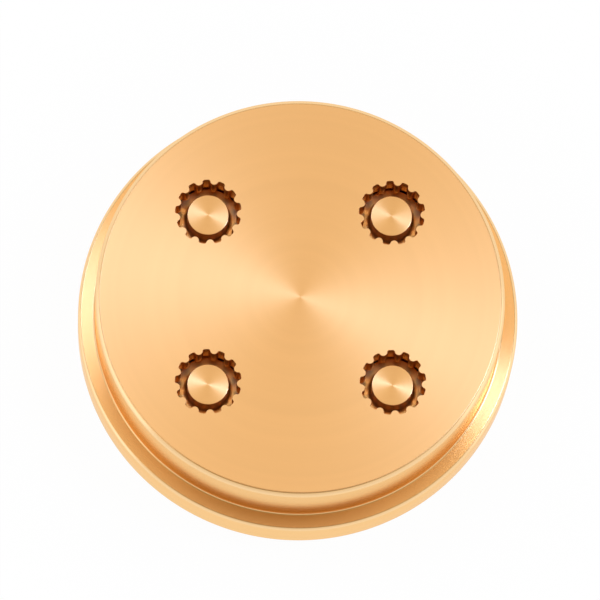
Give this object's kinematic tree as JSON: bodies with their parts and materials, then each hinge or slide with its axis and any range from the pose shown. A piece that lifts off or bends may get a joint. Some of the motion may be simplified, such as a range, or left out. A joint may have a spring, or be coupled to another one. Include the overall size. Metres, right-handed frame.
{
  "type": "pasta extrusion die",
  "caption": "Round flanged bronze die for a pasta extruder, with grooved openings around centred core pins that form ridged tube pasta.",
  "frame": {"origin": "centre of the rear face, on the die's axis, where it rests", "axes": "+Z along the die's axis from the rear face to the front face, +X to the right and +Y to the back as seen from above the front face"},
  "size_m": [0.059, 0.059, 0.0164],
  "materials": {
    "die_body": "fine-turned bronze",
    "core_pins": "fine-turned bronze"
  },
  "bodies": {
    "root": {"die_body": "die_body", "core_pin_back_left": "core_pins", "core_pin_back_right": "core_pins", "core_pin_front_left": "core_pins", "core_pin_front_right": "core_pins"}
  },
  "joints": []
}
